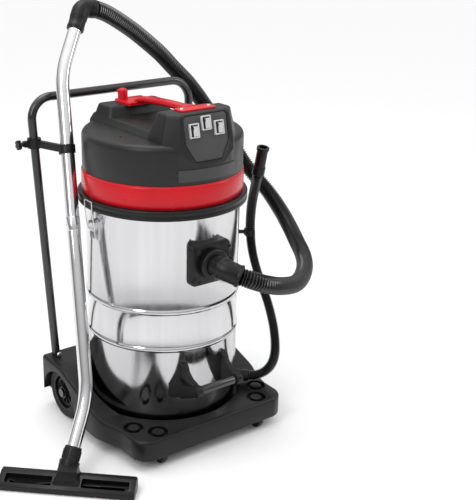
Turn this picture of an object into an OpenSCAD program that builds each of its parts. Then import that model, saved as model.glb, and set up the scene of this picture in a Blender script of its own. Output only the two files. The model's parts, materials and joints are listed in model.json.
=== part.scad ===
// Three-motor wet and dry shop vacuum on a wheeled trolley.
// Millimetres, +Z up, -Y is the front. The design is drawn round the tank's axis on the floor, and every
// sub-part is then moved by centre_shift, so that the origin is the middle of the footprint.

/* [Tank] */
// Outer radius of the steel tank
tank_r = 220; // [216:1:222]
// Height of the tank's rim above the floor
tank_top = 690; // [684:1:690]
// Thickness of the tank's steel
tank_wall = 2; // [1.5:0.5:3]
// Height of the lower stiffening bead
bead_low = 306; // [280:2:330]
// Height of the upper stiffening bead
bead_high = 418; // [400:2:440]

/* [Trolley] */
// Height of the front deck
deck_z = 94; // [92:1:96]
// Height of the fenders at the rear
fender_z = 170; // [169:1:176]
// Height of the skirt's lower edge
skirt_z = 34; // [30:1:38]
// Radius of the rear wheels
wheel_r = 80; // [76:1:80]
// Radius of the caster wheels
caster_r = 25; // [22:1:25]

/* [Push frame] */
// Radius of the frame's tube
frame_tube_r = 12.5; // [10:0.5:12.5]
// Height of the frame's top bar
frame_top = 950; // [900:5:960]

/* [Head] */
// Outer radius of the lid ring
ring_r = 240; // [236:1:240]
// Outer radius of the red band
band_r = 228; // [226:1:230]
// Outer radius of the motor cover
cover_r = 225; // [222:1:227]
// Height of the motor cover's shoulder
shoulder_z = 885; // [880:1:890]
// Height of the switch console's top
console_z = 962; // [955:1:965]
// How far the rockers stand at each side of level, in degrees
rocker_v = 9; // [4:1:12]

/* [Suction] */
// Outer radius of the wand's tube
wand_r = 19; // [17:0.5:19]
// Bend at each end of the wand, in degrees
wand_bend = 22.8; // [20:0.2:26]
// Outer radius of the suction hose
hose_r = 25; // [22:0.5:25]
// Outer radius of the drain hose
drain_r = 15; // [13:0.5:15]
// Width of the floor tool
tool_w = 370; // [340:5:380]

/* [Hidden] */
centre_shift = [145.8, 30.2, 0];
$fn = 72;

black = [0.09, 0.09, 0.1];
dark_grey = [0.2, 0.2, 0.2];
red = [0.75, 0.06, 0.1];
steel = [0.8, 0.8, 0.82];
cloth = [0.85, 0.85, 0.8];

well_r = 229;
well_floor = 70;
well_wall = 4;
skin = 5;
base_front = -276;
base_rear = 225;
wheel_y = 130;
wheel_in = 236;
wheel_out = 274;
axle_r = 8;
running_gap = 0.06;
caster_x = 172;
caster_y = -226;
caster_trail = 17;
caster_half_w = 9;
recess_places = [[175, -236], [220, -180]];
frame_foot = [250, 203, 136];
frame_corner = [274, 258, frame_top];
frame_bend = 62;
inlet_z = 555;
inlet_out = -246;
drain_a = -36;
drain_z = 118;
tip_y = -274;
tip_z = 203;
latch_pin = [229, 644];
latch_hook = [235.5, 633];
console_lean = 12;
console_foot = [-222, 830];
motor_pitch = 98;
motor_z = 724;
float_z = 617;
switch_places = [[-40, 918], [0, 934], [40, 918]];

// Wand: foot of the straight end, the directions it takes, and its lengths
wand_foot = [-402, -162, 83];
wand_turn = [37.9, 32.6, 144.8];
wand_bend_r = 260;
wand_low_straight = 88;
wand_main = 791;
wand_top_straight = 128;
wand_split = 600;
wand_insert = 30;

tool_at = [-450, -212, 0];
tool_turn = -42;

// Suction hose, from the inlet's cuff round the right side and over the push frame to the wand's elbow
hose_route = [
    [34, -318, 536], [62, -334, 524], [104, -342, 506], [160, -337, 486], [240, -306, 463], [320, -248, 447],
    [398, -176, 440], [452, -108, 444], [486, -42, 459], [510, 22, 487], [520, 78, 523], [514, 142, 576],
    [479, 212, 652], [437, 258, 742], [398, 284, 806], [371, 297, 846], [348, 305, 880], [311, 314, 927],
    [263, 320, 974], [211, 320, 1024], [157, 315, 1066], [100, 306, 1106], [38, 294, 1143], [-8, 284, 1166],
    [-48, 276, 1180]];
// Drain hose, from the fitting low on the tank up to its open cuff
drain_route = [
    [212, -154, 118], [232, -168, 120], [254, -182, 132], [270, -192, 156], [280, -193, 190],
    [286, -184, 230], [292, -164, 276], [298, -132, 326], [300, -94, 380], [300, -62, 434], [300, -42, 486],
    [300, -33, 545], [300, -36, 610], [300, -47, 665], [300, -60, 715]];
drain_cuff_end = [300, -79, 800];

wand_reach = wand_bend_r * tan(wand_bend / 2);
wand_slant = [sin(wand_bend), 0, cos(wand_bend)];
wand_corner_low = [0, 0, wand_low_straight + wand_reach];
wand_corner_high = wand_corner_low + wand_slant * (wand_main + 2 * wand_reach);
wand_tip = wand_corner_high + [0, 0, wand_reach + wand_top_straight];
wand_mid = wand_corner_low + wand_slant * (wand_split - wand_low_straight - wand_reach);
wand_end = turned(wand_tip);
wand_end_way = unit(turned(wand_tip) - turned(wand_tip - [0, 0, 10]));

clip_z = 825;
clip_leg = [-frame_point(clip_z).x, frame_point(clip_z).y, clip_z];
wand_way = unit(turned(wand_corner_high) - turned(wand_corner_low));
clip_wand = turned(wand_corner_low) + wand_way * (clip_z - turned(wand_corner_low).z) / wand_way.z;
clip_drain = [300, -35, 528];
inlet_hub = [0, -284, inlet_z];
rocker_depth = 9.5;
panel_outline = [[-42, 838], [42, 838], [69, 884], [70, 950], [63, 957], [-63, 957],
    [-70, 950], [-69, 884]];
handle_top = [[118, 931], [104, 946], [70, 957], [20, 964], [-40, 967], [-96, 969],
    [-132, console_z + 4]];
handle_under = [[-132, console_z], [-113, console_z], [-103, 951], [-80, 944], [-30, 944],
    [20, 942], [60, 938], [86, 931]];
bail_y = 18.5;
bail_x = 243.2;
bail_side = [
    [latch_hook.x, 7, latch_hook.y], [latch_hook.x, bail_y, latch_hook.y], [bail_x, bail_y, 684],
    [bail_x, bail_y, 713]];

// ---------- general shapes ----------

function unit(v) = v / norm(v);

function arc(centre, r, a0, a1, n = 8) =
    [for (k = [0:n]) let (a = a0 + (a1 - a0) * k / n) centre + r * [cos(a), sin(a)]];

function mirrored(points) = concat(points, [for (k = [len(points) - 1:-1:0]) [-points[k].x, points[k].y]]);

// A path through corners, each rounded to radius r with n steps
function corner(a, b, c, r, n) =
    let (u = unit(b - a), v = unit(c - b), turn = acos(u * v), reach = r * tan(turn / 2),
         side = unit(v - u * (u * v)), start = b - u * reach, hub = start + side * r)
    [for (k = [0:n]) hub + r * (sin(turn * k / n) * u - cos(turn * k / n) * side)];

function rounded(points, r, n = 6) = concat(
    [points[0]],
    [for (k = [1:len(points) - 2]) each corner(points[k - 1], points[k], points[k + 1], r, n)],
    [points[len(points) - 1]]);

function tangent(p, k) = unit(p[min(k + 1, len(p) - 1)] - p[max(k - 1, 0)]);

function any_normal(t) = unit(cross(t, abs(t.z) < 0.9 ? [0, 0, 1] : [1, 0, 0]));

function carried(p, k = 0, x = [0, 0, 0]) = k == len(p) ? [] :
    let (t = tangent(p, k), side = norm(x) == 0 ? any_normal(t) : unit(x - t * (x * t)))
    concat([[side, cross(t, side)]], carried(p, k + 1, side));

// A tube's skin swept along the path p
module sweep(p, r, sides = 12) {
    frames = carried(p);
    rings = len(p);
    points = [for (i = [0:rings - 1], k = [0:sides - 1])
        p[i] + r * (cos(360 * k / sides) * frames[i][0] + sin(360 * k / sides) * frames[i][1])];
    walls = [for (i = [0:rings - 2], k = [0:sides - 1])
        let (a = i * sides + k, b = i * sides + (k + 1) % sides) [a, a + sides, b + sides, b]];
    first = [for (k = [0:sides - 1]) k];
    last = [for (k = [sides - 1:-1:0]) (rings - 1) * sides + k];
    polyhedron(points, concat([first], walls, [last]), convexity = 6);
}

module hollow_sweep(p, r, wall, sides = 16) {
    ends = len(p) - 1;
    longer = [for (k = [0:ends]) k == 0 ? p[0] - tangent(p, 0) : k == ends ? p[k] + tangent(p, ends) : p[k]];
    difference() {
        sweep(p, r, sides);
        sweep(longer, r - wall, sides);
    }
}

// Children drawn along +Z are turned to run along v from the point at
module aim(at, v) {
    translate(at) rotate([0, acos(v.z / norm(v)), atan2(v.y, v.x)]) children();
}

module rod(a, b, r) {
    aim(a, b - a) cylinder(h = norm(b - a), r = r);
}

module ring(r_out, r_in, z0, z1) {
    translate([0, 0, z0]) difference() {
        cylinder(h = z1 - z0, r = r_out);
        translate([0, 0, -1]) cylinder(h = z1 - z0 + 2, r = r_in);
    }
}

module along_x(x0, x1) {
    translate([x0, 0, 0]) rotate([90, 0, 90]) linear_extrude(x1 - x0) children();
}

module both_sides() {
    children();
    mirror([1, 0, 0]) children();
}

module placed() {
    translate(centre_shift) children();
}

// ---------- trolley ----------

function base_plan(inset) = mirrored(concat(
    arc([206, -224], 52 - inset, 270, 360),
    [[268 - inset, -108], [288 - inset, -92]],
    arc([272, base_rear - 16], 16 - inset, 0, 90, 5),
    arc([0, 0], 240 - inset, 70, 90, 5)));

function base_side(drop) = [
    [-300, skirt_z - drop], [-300, deck_z - drop], [-112, deck_z - drop], [118, fender_z - drop],
    [250, fender_z - drop], [250, skirt_z - drop]];

module base_block(inset, drop) {
    intersection() {
        linear_extrude(300) polygon(base_plan(inset));
        along_x(-300, 300) polygon(base_side(drop));
    }
}

module frame_axis(z0, z1) {
    lean = (frame_corner - frame_foot) / (frame_corner.z - frame_foot.z);
    aim(frame_foot + lean * (z0 - frame_foot.z), lean) rotate(130) cylinder(h = z1 - z0, r = $tube);
}

module wheel_opening() {
    translate([0, wheel_y, wheel_r]) rotate([0, 90, 0]) translate([0, 0, 234.5])
        cylinder(h = 48.5, r = wheel_r + 5.5);
    translate([270, wheel_y + 1, 52]) rotate([0, 90, 0]) cylinder(h = 30, r = 94);
}

module chassis() color(black) placed() difference() {
    union() {
        difference() {
            base_block(0, 0);
            base_block(skin, skin);
        }
        intersection() {
            translate([0, 0, well_floor - 2 * well_wall]) cylinder(h = 154, r = well_r + well_wall);
            base_block(0, 0);
        }
        intersection() {
            both_sides() for (place = recess_places)
                translate([place.x, place.y, deck_z - 18]) cylinder(h = 40, r = 29);
            base_block(0, 0);
        }
        both_sides() {
            translate([caster_x, caster_y, 66]) cylinder(h = deck_z - 68, r = 22);
            translate([186, wheel_y, wheel_r]) rotate([0, 90, 0]) cylinder(h = 46, r = 15);
            frame_axis(134, fender_z + 20, $tube = 18);
        }
    }
    translate([0, 0, well_floor - well_wall]) cylinder(h = 204, r = well_r);
    cylinder(h = well_floor, r = well_r - 8);
    both_sides() {
        wheel_opening();
        frame_axis(136, fender_z + 40, $tube = frame_tube_r + 0.1);
        translate([197, wheel_y, wheel_r]) rotate([0, 90, 0]) cylinder(h = 40, r = axle_r);
        translate([frame_foot.x + 1, frame_foot.y - 30, fender_z + 8]) rotate([-90, 0, 0])
            cylinder(h = 60, r = 4, $fn = 32);
        for (place = recess_places) translate([place.x, place.y, 0]) ring(25, 16, deck_z - 13, deck_z + 40);
    }
}

// The plate that closes the well, dropped on the ledge round its foot
module well_plate() color(black) placed() translate([0, 0, well_floor - well_wall])
    cylinder(h = well_wall, r = well_r - running_gap);

module wheel_axles() color(steel) placed() both_sides()
translate([0, wheel_y, wheel_r]) rotate([0, 90, 0]) {
    translate([0, 0, 197]) cylinder(h = wheel_out + 1.5 - 197, r = axle_r);
    translate([0, 0, wheel_out + 1.5]) cylinder(h = 4, r = 13);
}

module rear_tyre() color(black) placed() translate([0, wheel_y, wheel_r]) rotate([0, 90, 0])
    rotate_extrude($fn = 96) polygon([
        [58, wheel_in + 3], [wheel_r - 9, wheel_in], [wheel_r - 2, wheel_in + 5], [wheel_r, wheel_in + 11],
        [wheel_r, wheel_out - 11], [wheel_r - 2, wheel_out - 5], [wheel_r - 9, wheel_out],
        [58, wheel_out - 3]]);

module rear_hub() color(dark_grey) placed()
translate([0, wheel_y, wheel_r]) rotate([0, 90, 0]) difference() {
    union() {
        ring(58, 50, wheel_in + 3, wheel_out - 3);
        ring(52, 10, 252, 258);
        ring(19, axle_r + running_gap, wheel_in, wheel_out);
    }
    for (k = [0:4]) rotate(72 * k) translate([35, 0, 240]) cylinder(h = 30, r = 9);
}

module rear_tyre_left() mirror_x() rear_tyre();
module rear_tyre_right() rear_tyre();
module rear_hub_left() mirror_x() rear_hub();
module rear_hub_right() rear_hub();

// Mirrors across the tank's own middle plane, which centre_shift has moved
module mirror_x() {
    translate([2 * centre_shift.x, 0, 0]) mirror([1, 0, 0]) children();
}

module caster_plates() color(steel) placed() both_sides() translate([caster_x, caster_y, 0]) {
    translate([0, 0, 62]) cylinder(h = 4, r = 21);
    translate([0, 0, 53]) cylinder(h = 10, r = 5);
}

module caster_fork() color(steel) placed() translate([caster_x, caster_y, 0]) difference() {
    union() {
        translate([0, 0, 55]) cylinder(h = 6, r = 17);
        both_sides() along_x(11, 14) polygon([[-13, 58], [13, 58], [-10, 19], [-24, 19], [-27, 31]]);
        translate([-16, -caster_trail, caster_r]) rotate([0, 90, 0]) cylinder(h = 32, r = 4);
    }
    translate([0, 0, 50]) cylinder(h = 20, r = 5 + running_gap);
}

module caster_wheel() color(black) placed() translate([caster_x, caster_y - caster_trail, caster_r])
    rotate([0, 90, 0]) rotate_extrude() polygon([
        [4 + running_gap, -10], [9, -10], [10, -caster_half_w], [caster_r - 3, -caster_half_w],
        [caster_r, -5], [caster_r, 5], [caster_r - 3, caster_half_w], [10, caster_half_w], [9, 10],
        [4 + running_gap, 10]]);

module caster_fork_left() mirror_x() caster_fork();
module caster_fork_right() caster_fork();
module caster_wheel_left() mirror_x() caster_wheel();
module caster_wheel_right() caster_wheel();

// ---------- push frame and clips ----------

module push_frame() color(black) placed() {
    left = [-frame_foot.x, frame_foot.y, frame_foot.z];
    left_top = [-frame_corner.x, frame_corner.y, frame_corner.z];
    hollow_sweep(rounded([left, left_top, frame_corner, frame_foot], frame_bend, 8), frame_tube_r, 1.5);
}

function frame_point(z) = frame_foot + (frame_corner - frame_foot)
    * (z - frame_foot.z) / (frame_corner.z - frame_foot.z);

// A C-shaped jaw round the Z axis, open towards +X
module jaw(r_in, r_out, half_h, mouth) {
    rotate(mouth / 2) rotate_extrude(angle = 360 - mouth) polygon([
        [r_in, -half_h], [r_out, -half_h], [r_out, half_h], [r_in, half_h]]);
}

module wand_clip() color(black) placed() {
    reach = clip_wand - clip_leg;
    way = atan2(reach.y, reach.x);
    difference() {
        union() {
            translate(clip_leg) translate([0, 0, -14]) cylinder(h = 28, r = 20);
            translate(clip_leg) rotate(way) translate([16, -6, -10])
                cube([norm([reach.x, reach.y]) - 38, 12, 20]);
            translate(clip_leg) translate([-34, -8, -8]) cube([20, 16, 16]);
        }
        frame_leg_bore();
    }
    aim(clip_wand, wand_way) rotate(-70) jaw(wand_r + 0.2, 25, 12, 110);
}

module frame_leg_bore() {
    mirror([1, 0, 0]) frame_axis(780, 870, $tube = frame_tube_r + 0.05);
}

module clip_knob() color(black) placed() translate(clip_leg + [-34, 0, 0]) rotate([0, -90, 0]) {
    cylinder(h = 10, r = 5);
    translate([0, 0, 10]) for (k = [0:2]) rotate(60 * k) translate([-13, -4, 0]) cube([26, 8, 10]);
}

module hose_clip() color(black) placed() {
    difference() {
        union() {
            translate([214, 6, clip_drain.z - 20]) cube([10, 26, 40]);
            rod([222, 20, clip_drain.z], [285, -24.5, clip_drain.z], 6);
        }
        cylinder(h = 900, r = tank_r, $fn = 360);
    }
    translate(clip_drain) rotate(-35) jaw(drain_r + 0.3, 20, 9, 100);
}

// ---------- tank ----------

function bead(z) = [[tank_r, z - 9], [tank_r + 2, z - 7], [tank_r + 4, z - 3], [tank_r + 4, z + 3],
    [tank_r + 2, z + 7], [tank_r, z + 9]];

function bead_inside(z) = [[tank_r - tank_wall, z + 9], [tank_r + 2 - tank_wall, z + 6],
    [tank_r + 2 - tank_wall, z - 6], [tank_r - tank_wall, z - 9]];

module tank() color(steel) placed() difference() {
    rotate_extrude($fn = 144) polygon(concat(
        [[0, well_floor], [tank_r - 12, well_floor], [tank_r - 3, well_floor + 3],
         [tank_r, well_floor + 12]],
        bead(bead_low), bead(bead_high),
        [[tank_r, tank_top - 7], [tank_r + 3.5, tank_top - 5], [tank_r + 3.5, tank_top],
         [tank_r - tank_wall, tank_top]],
        bead_inside(bead_high), bead_inside(bead_low),
        [[tank_r - tank_wall, well_floor + 14], [tank_r - 14, well_floor + 2.6], [0, well_floor + 2.6]]));
    translate([0, -150, inlet_z]) rotate([90, 0, 0]) cylinder(h = 120, r = 38);
    rotate(drain_a) translate([150, 0, drain_z]) rotate([0, 90, 0]) cylinder(h = 120, r = 16);
}

function rounded_square(w, h, r) = concat(
    arc([w / 2 - r, h / 2 - r], r, 0, 90, 4), arc([r - w / 2, h / 2 - r], r, 90, 180, 4),
    arc([r - w / 2, r - h / 2], r, 180, 270, 4), arc([w / 2 - r, r - h / 2], r, 270, 360, 4));

// A block on the front, with its outline in X and Z, from y0 back to the tank
module front_block(w, h, r, y0, y1) {
    translate([0, y1, inlet_z]) rotate([90, 0, 0]) linear_extrude(y1 - y0) polygon(rounded_square(w, h, r));
}

module inlet_bezel() color(black) placed() difference() {
    union() {
        front_block(130, 118, 16, -233, -190);
        front_block(116, 104, 14, inlet_out, -232);
    }
    cylinder(h = 900, r = tank_r, $fn = 360);
    translate([0, -150, inlet_z]) rotate([90, 0, 0]) cylinder(h = 120, r = 38);
    both_sides() for (s = [-1, 1]) translate([50, -260, inlet_z + 44 * s]) rotate([-90, 0, 0])
        cylinder(h = 23, r = 3, $fn = 24);
}

module inlet_socket() color(black) placed() translate([0, 0, inlet_z]) rotate([90, 0, 0]) difference() {
    union() {
        translate([0, 0, 196]) cylinder(h = 60, r = 38);
        translate([0, 0, -inlet_out]) cylinder(h = 8, r = 43);
    }
    translate([0, 0, 190]) cylinder(h = 80, r = 31);
}

module inlet_deflector() color(black) placed() intersection() {
    difference() {
        translate([-50, -230, inlet_z - 55]) cube([100, 46, 110]);
        translate([-44, -231, inlet_z - 60]) cube([88, 41, 109]);
    }
    cylinder(h = 900, r = tank_r - tank_wall, $fn = 360);
}

module inlet_cuff() color(black) placed() {
    hollow_sweep(rounded([[0, -236, inlet_z], inlet_hub, hose_route[0]], 60, 8), 30, 9, 24);
}

module suction_hose() color(black) placed() hollow_sweep(hose_route, hose_r, 5, 12);

module drain_fitting() color(black) placed() rotate(drain_a) translate([0, 0, drain_z]) rotate([0, 90, 0])
    difference() {
        union() {
            translate([0, 0, 205]) cylinder(h = 57, r = 15.9);
            difference() {
                translate([0, 0, 214]) cylinder(h = 18, r = 22, $fn = 24);
                translate([drain_z, 0, 0]) rotate([0, -90, 0]) cylinder(h = 300, r = tank_r, $fn = 360);
            }
            translate([0, 0, 240]) cylinder(h = 20, r = 17.5);
        }
        translate([0, 0, 200]) cylinder(h = 70, r = 10);
    }

module drain_hose() color(black) placed() hollow_sweep(drain_route, drain_r, 2.6, 12);

module drain_cuff() color(black) placed() {
    start = drain_route[len(drain_route) - 1];
    way = unit(drain_cuff_end - start);
    difference() {
        union() {
            rod(start, drain_cuff_end, 16.5);
            rod(start, start + way * 26, 18.5);
            rod(drain_cuff_end - way * 10, drain_cuff_end, 18.5);
        }
        rod(start - way, drain_cuff_end + way, 12);
    }
}

module tip_arms() color(black) placed() difference() {
    both_sides() {
        along_x(59, 79) polygon(concat(
            [[-190, 262], [-212, 254], [-226, 236]], arc([tip_y, tip_z], 17, 60, 260, 10),
            [[-240, 170], [-190, 150]]));
    }
    cylinder(h = 900, r = tank_r, $fn = 360);
    translate([-67, tip_y, tip_z]) rotate([0, 90, 0]) cylinder(h = 134, r = 11.5);
}

module tip_bar() color(dark_grey) placed() translate([-67, tip_y, tip_z]) rotate([0, 90, 0])
    cylinder(h = 134, r = 11.5);

module tank_screws() color(steel) placed() {
    both_sides() for (s = [-1, 1]) translate([50, inlet_out, inlet_z + 44 * s]) rotate([90, 0, 0])
        screw(3, 8);
    both_sides() translate([frame_foot.x + 1, frame_foot.y - 17, fender_z + 8]) rotate([90, 0, 0])
        screw(4, 30);
}

// A button-headed screw whose head stands on the plane z = 0, shank downwards
module screw(r, long) {
    translate([0, 0, -long]) cylinder(h = long + 0.5, r = r, $fn = 24);
    difference() {
        cylinder(h = r * 1.1, r1 = r * 1.9, r2 = r * 1.3, $fn = 32);
        translate([0, 0, r * 0.5]) cylinder(h = r, r = r * 0.55, $fn = 6);
    }
}

// ---------- latches ----------

module latch_plates() color(steel) placed() both_sides() {
    difference() {
        translate([tank_r - 4, -16, 600]) cube([7.5, 32, 52]);
        cylinder(h = 900, r = tank_r, $fn = 360);
    }
    both_ears() translate([tank_r + 1, 12, 636]) cube([14, 3, 16]);
    translate([latch_pin.x, -15, latch_pin.y]) rotate([-90, 0, 0]) cylinder(h = 30, r = 2.5);
}

module both_ears() {
    children();
    mirror([0, 1, 0]) children();
}

module latch_lever() color(steel) placed() difference() {
    union() {
        translate([latch_pin.x, -11.5, latch_pin.y]) rotate([-90, 0, 0]) cylinder(h = 23, r = 5);
        translate([latch_hook.x, -11.5, latch_hook.y]) rotate([-90, 0, 0]) cylinder(h = 23, r = 3.5);
        translate([0, 11.5, 0]) rotate([90, 0, 0]) linear_extrude(23) polygon([
            [latch_pin.x - 3, latch_pin.y - 4], [latch_pin.x + 4.5, latch_pin.y + 2],
            [latch_hook.x + 3.4, latch_hook.y], [233, 624], [233.5, 606], [231.5, 604], [230.5, 622]]);
    }
    translate([latch_pin.x, -20, latch_pin.y]) rotate([-90, 0, 0]) cylinder(h = 40, r = 2.5 + running_gap);
    both_ears() translate([latch_hook.x, 6, latch_hook.y]) rotate([-90, 0, 0])
        cylinder(h = 20, r = 1.5 + running_gap);
}

module latch_bail() color(steel) placed() {
    other = [for (k = [len(bail_side) - 1:-1:0]) [bail_side[k].x, -bail_side[k].y, bail_side[k].z]];
    sweep(rounded(concat(bail_side, other), 3, 3), 1.5, 12);
}

module latch_lever_left() mirror_x() latch_lever();
module latch_lever_right() latch_lever();
module latch_bail_left() mirror_x() latch_bail();
module latch_bail_right() latch_bail();

// ---------- wand and floor tool ----------

function turned(v) =
    let (a = wand_turn[2], b = wand_turn[0], c = wand_turn[1],
         p = [v.x * cos(a) - v.y * sin(a), v.x * sin(a) + v.y * cos(a), v.z],
         q = [p.x * cos(b) + p.z * sin(b), p.y, p.z * cos(b) - p.x * sin(b)])
    wand_foot + [q.x * cos(c) - q.y * sin(c), q.x * sin(c) + q.y * cos(c), q.z];

function wand_path(points) = [for (p = rounded(points, wand_bend_r, 7)) turned(p)];

module wand_lower() color(steel) placed() {
    low = [0, 0, -wand_insert];
    hollow_sweep(wand_path([low, wand_corner_low, wand_mid]), wand_r, 1.5, 20);
}

module wand_upper() color(steel) placed()
    hollow_sweep(wand_path([wand_mid, wand_corner_high, wand_tip]), wand_r, 1.5, 20);

module wand_elbow() color(black) placed() {
    low = wand_end - wand_end_way * 42;
    corner_at = wand_end + wand_end_way * 32;
    finish = hose_route[len(hose_route) - 1];
    difference() {
        union() {
            rod(low, wand_end + wand_end_way * 6, 25);
            sweep(rounded([wand_end, corner_at, finish], 26, 6), 25.5, 20);
        }
        rod(low - wand_end_way, wand_end, wand_r);
    }
}

tool_neck = unit(turned([0, 0, 0]) - turned([0, 0, 10]));

module tool_collar() color(black) placed() difference() {
    aim(wand_foot - tool_neck * 4, tool_neck) {
        cylinder(h = 6, r1 = 22, r2 = 24);
        translate([0, 0, 6]) cylinder(h = 32, r = 24);
        translate([0, 0, 38]) cylinder(h = 10, r = 28);
    }
    aim(wand_foot - tool_neck * 5, tool_neck) cylinder(h = 60, r = wand_r + 0.02);
}

module tool_place() {
    translate(tool_at) rotate(tool_turn) children();
}

module tool_body() color(black) placed() difference() {
    union() {
        tool_place() along_x(-tool_w / 2, tool_w / 2) polygon([
            [-35, 3], [-35, 16], [-28, 24], [12, 37], [28, 37], [35, 29], [35, 3]]);
        difference() {
            aim(wand_foot + tool_neck * 44, tool_neck) cylinder(h = 34, r = 27);
            translate([-900, -900, -100]) cube([1200, 1200, 103]);
        }
        tool_place() intersection() {
            translate([0, 14, 0]) cylinder(h = 52, r1 = 46, r2 = 30);
            translate([-60, -35, 3]) cube([120, 70, 60]);
        }
    }
    tool_place() {
        for (s = [-1, 1]) translate([s * 104 - 62, -27, 15]) rotate([18, 0, 0]) cube([124, 34, 30]);
        for (s = [-1, 1]) translate([-150, s * 22 - 4, -1]) cube([300, 8, 14]);
        translate([-150, -10, -1]) cube([300, 20, 12]);
    }
    aim(wand_foot + tool_neck * 26, tool_neck) cylinder(h = 40, r = wand_r);
}

module tool_strips() color(dark_grey) placed() tool_place()
    for (s = [-1, 1]) translate([-148, s * 22 - 2.5, 0]) cube([296, 5, 12]);

// ---------- head ----------

module lid_ring() color(black) placed() rotate_extrude($fn = 144) polygon([
    [tank_r + 5, 686], [ring_r - 2, 686], [ring_r, 688], [ring_r, 711], [ring_r - 3, 714],
    [212, 714], [212, tank_top + 2], [tank_r + 5, tank_top + 2]]);

module red_band() color(red) placed() rotate_extrude($fn = 144) polygon([
    [212, 714], [band_r - 4, 714], [band_r - 4, 717], [band_r, 718], [band_r, 775], [band_r - 3, 778],
    [212, 778], [212, 770], [218, 770], [218, 722], [212, 722]]);

function console_y(z) = console_foot.x + (z - console_foot.y) * tan(console_lean);

// A slab of the console's outline at height z: half width, front corner and rear
module console_slab(z, half_front, half_side, y_side, y_back) {
    translate([0, 0, z]) linear_extrude(1) polygon(mirrored([
        [half_front, console_y(z)], [half_side, y_side], [half_side, y_back]]));
}

module console(inset) {
    hull() {
        console_slab(console_z - 1 - inset, 78 - inset, 104 - inset, -166, -120 - inset);
        console_slab(858, 84 - inset, 124 - inset, -176, -88 - inset);
    }
    hull() {
        console_slab(858, 84 - inset, 124 - inset, -176, -88 - inset);
        console_slab(828 + inset, 50 - inset, 118 - inset, -178, -88 - inset);
    }
}

module rear_block(inset) {
    hull() {
        translate([inset - 96, 116 + inset, 0]) cube([192 - 2 * inset, 74 - 2 * inset, 931 - inset]);
        translate([inset - 112, 100 + inset, 0]) cube([224 - 2 * inset, 94 - 2 * inset, 890]);
    }
}

module cover_body(inset) {
    top = shoulder_z - inset;
    intersection() {
        rotate_extrude($fn = 120) polygon([
            [0, 700], [cover_r - inset, 700], [cover_r - inset, top - 14], [cover_r - 4 - inset, top - 5],
            [cover_r - 14 - inset, top], [0, top + 1]]);
        translate([-300, -300, 778 - inset]) cube(600);
    }
    intersection() {
        union() {
            translate([0, 195 - inset, 0]) rotate([90, 0, 0]) linear_extrude(370 - 2 * inset) polygon([
                [inset - 116, 850], [inset - 116, top - 1], [inset - 104, top + 18], [104 - inset, top + 18],
                [116 - inset, top - 1], [116 - inset, 850]]);
            rear_block(inset);
        }
        translate([0, 0, 800]) cylinder(h = 200, r = cover_r - 8 - inset);
    }
}

// Outlines in the console's sloping face: x, and height along the slope above its foot
module on_console(depth0, depth1) {
    translate([0, console_foot.x, console_foot.y]) rotate([90 - console_lean, 0, 0])
        translate([0, 0, -depth1]) linear_extrude(depth1 - depth0) children();
}

function on_slope(p) = [p.x, (p.y - console_foot.y) / cos(console_lean)];

module switch_hole(w, h) {
    for (place = switch_places) translate(on_slope(place)) square([w, h], center = true);
}

module motor_cover() color(dark_grey) placed() difference() {
    union() {
        cover_body(0);
        console(0);
    }
    cover_body(4);
    console(4);
    on_console(-1, 3.5) polygon([for (p = panel_outline) on_slope(p)]);
    on_console(-1, 20) switch_hole(25, 33);
    translate([-60, 230, 812]) rotate([90, 0, 0]) cylinder(h = 30, r = 9);
}

module switch_panel() color(dark_grey) placed() difference() {
    on_console(1.7, 3.5)
        polygon([for (p = panel_outline) on_slope([p.x * 0.985, 896 + (p.y - 896) * 0.985])]);
    on_console(-1, 20) switch_hole(25.4, 33.4);
}

module name_plate() color(dark_grey) placed()
rotate(270 - 24) rotate_extrude(angle = 48, $fn = 120) polygon([
    [cover_r, 786], [cover_r + 1.6, 786], [cover_r + 1.6, 820], [cover_r, 820]]);

module switch_bezels() color(steel) placed() difference() {
    on_console(-3, 1.7) switch_hole(31, 38);
    on_console(-8, 20) switch_hole(22.6, 30.6);
}

// One rocker: a round-backed bar cut to a shallow V, on an axis behind the sloping face
module rocker(place) color(black) placed() {
    slope = on_slope(place);
    translate([0, console_foot.x, console_foot.y]) rotate([-console_lean, 0, 0])
        translate([slope.x - 11, rocker_depth, slope.y]) rotate([rocker_v, 0, 0]) difference() {
            rotate([0, 90, 0]) cylinder(h = 22, r = 14.8);
            for (s = [-1, 1]) rotate([s * rocker_v, 0, 0]) translate([-1, -40 - 12.5, s < 0 ? -40 : 0])
                cube([24, 40, 40]);
            translate([-1, 4, -20]) cube([24, 20, 40]);
        }
}

module rocker_left() rocker(switch_places[0]);
module rocker_middle() rocker(switch_places[1]);
module rocker_right() rocker(switch_places[2]);

module carry_handle() color(red) placed() {
    along_x(-17, 17) polygon(concat(handle_top, handle_under));
    translate([-58, -172, console_z]) cube([116, 44, 4]);
    translate([-46, 104, 931]) cube([92, 76, 6]);
}

module handle_screws() color(steel) placed() both_sides() translate([44, -150, console_z + 4]) screw(3, 12);

module cord_hook() color(red) placed() {
    translate([-42, 150, 937]) cube([28, 18, 27]);
    translate([-42, 167, 956]) cube([28, 12, 8]);
}

module cable_gland() color(black) placed() translate([-60, 232, 812]) rotate([90, 0, 0]) difference() {
    union() {
        translate([0, 0, 2]) cylinder(h = 30, r = 8.9);
        translate([0, 0, -8]) cylinder(h = 17, r = 12, $fn = 24);
    }
    translate([0, 0, -20]) cylinder(h = 80, r = 4.5);
}

module motor_place(k) {
    rotate(-90 + 120 * k) translate([motor_pitch, 0, 0]) children();
}

module motor_deck() color(black) placed() difference() {
    union() {
        translate([0, 0, 716]) cylinder(h = 6, r = 212);
        ring(70, 64, 700, 716);
    }
    for (k = [0:2]) motor_place(k) translate([0, 0, 700]) cylinder(h = 40, r = 22);
}

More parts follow.
